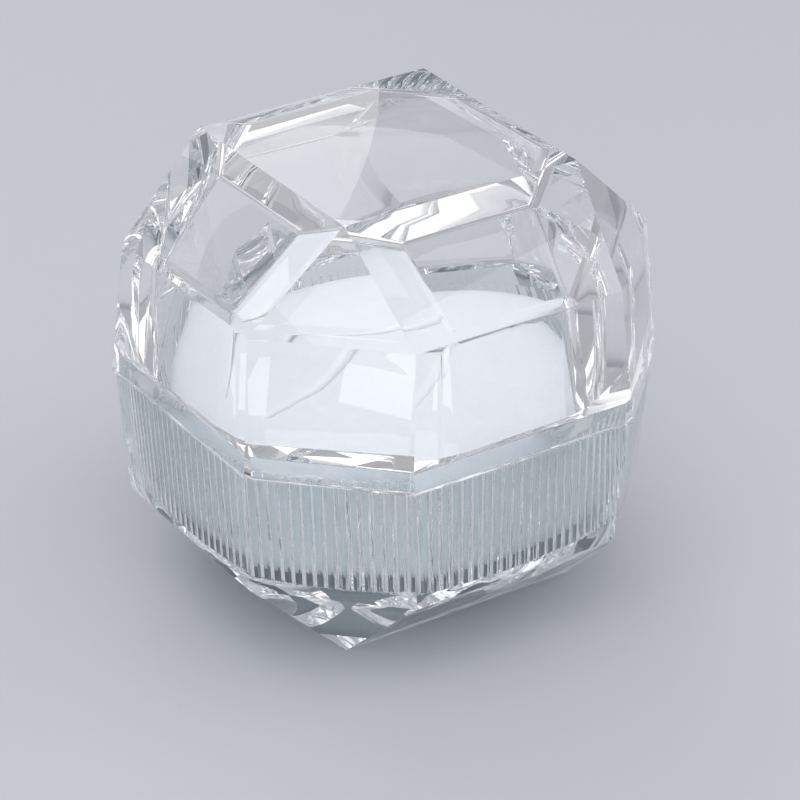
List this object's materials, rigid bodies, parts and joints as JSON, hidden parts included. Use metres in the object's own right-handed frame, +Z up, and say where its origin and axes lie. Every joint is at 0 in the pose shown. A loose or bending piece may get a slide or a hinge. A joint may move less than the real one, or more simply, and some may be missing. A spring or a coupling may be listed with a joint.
{
  "type": "ring display box",
  "caption": "Clear faceted plastic box with a hinged lid and fine ribs round its base, holding a white foam pad whose slit shows off a ring.",
  "frame": {"origin": "centre of the underside of the foot", "axes": "+Z up, +Y towards the hinge at the back, +X to the right seen from the front"},
  "size_m": [0.04, 0.0435, 0.0383],
  "materials": {
    "clear_plastic": "clear moulded polystyrene with polished facets",
    "pin_steel": "drawn steel wire",
    "foam": "soft white foam with a fine matt skin"
  },
  "bodies": {
    "base": {"base_shell": "clear_plastic", "hinge_pin": "pin_steel", "ring_pad": "foam"},
    "lid": {"lid_shell": "clear_plastic"}
  },
  "joints": [
    {"name": "lid_hinge", "type": "hinge", "parent": "base", "child": "lid", "pos_m": [0, 0.0218, 0.0188], "axis": [-1, 0, 0], "range_deg": [0, 105]}
  ]
}
